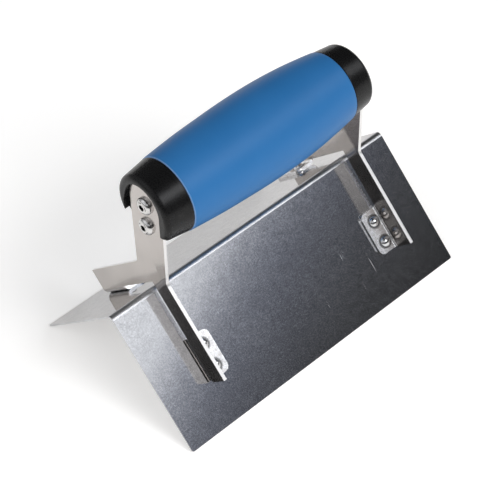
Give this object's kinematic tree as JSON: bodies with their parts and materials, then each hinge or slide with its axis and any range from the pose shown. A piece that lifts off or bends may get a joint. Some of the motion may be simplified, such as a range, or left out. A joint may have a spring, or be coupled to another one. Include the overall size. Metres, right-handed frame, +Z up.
{
  "type": "corner trowel",
  "caption": "Corner trowel: V-shaped sheet steel blade carried by two riveted brackets under a barrel grip, for finishing the two faces of a wall corner.",
  "frame": {"origin": "middle of the blade's length, under the ridge, on the plane that the blade's two free edges stand on", "axes": "+X along the ridge and the handle, +Y across from the front leg to the back leg, +Z up from the working side to the handle"},
  "size_m": [0.15, 0.0914, 0.1082],
  "materials": {
    "blade_steel": "satin polished stainless sheet with fine grain",
    "bracket_steel": "smooth polished pressed sheet",
    "rivet_steel": "bright domed rivets",
    "screw_steel": "bright plated",
    "grip_rubber": "satin moulded soft grip, blue",
    "cap_plastic": "satin moulded, black",
    "core_plastic": "plain moulded, black, hidden"
  },
  "bodies": {
    "root": {"blade": "blade_steel", "bracket_left": "bracket_steel", "bracket_right": "bracket_steel", "grip_sleeve": "grip_rubber", "handle_core": "core_plastic", "end_cap_left": "cap_plastic", "end_cap_right": "cap_plastic", "rivet_left_front_upper": "rivet_steel", "rivet_left_front_lower": "rivet_steel", "rivet_left_back_upper": "rivet_steel", "rivet_left_back_lower": "rivet_steel", "rivet_right_front_upper": "rivet_steel", "rivet_right_front_lower": "rivet_steel", "rivet_right_back_upper": "rivet_steel", "rivet_right_back_lower": "rivet_steel", "screw_left_upper": "screw_steel", "screw_left_lower": "screw_steel", "screw_right_upper": "screw_steel", "screw_right_lower": "screw_steel"}
  },
  "joints": []
}
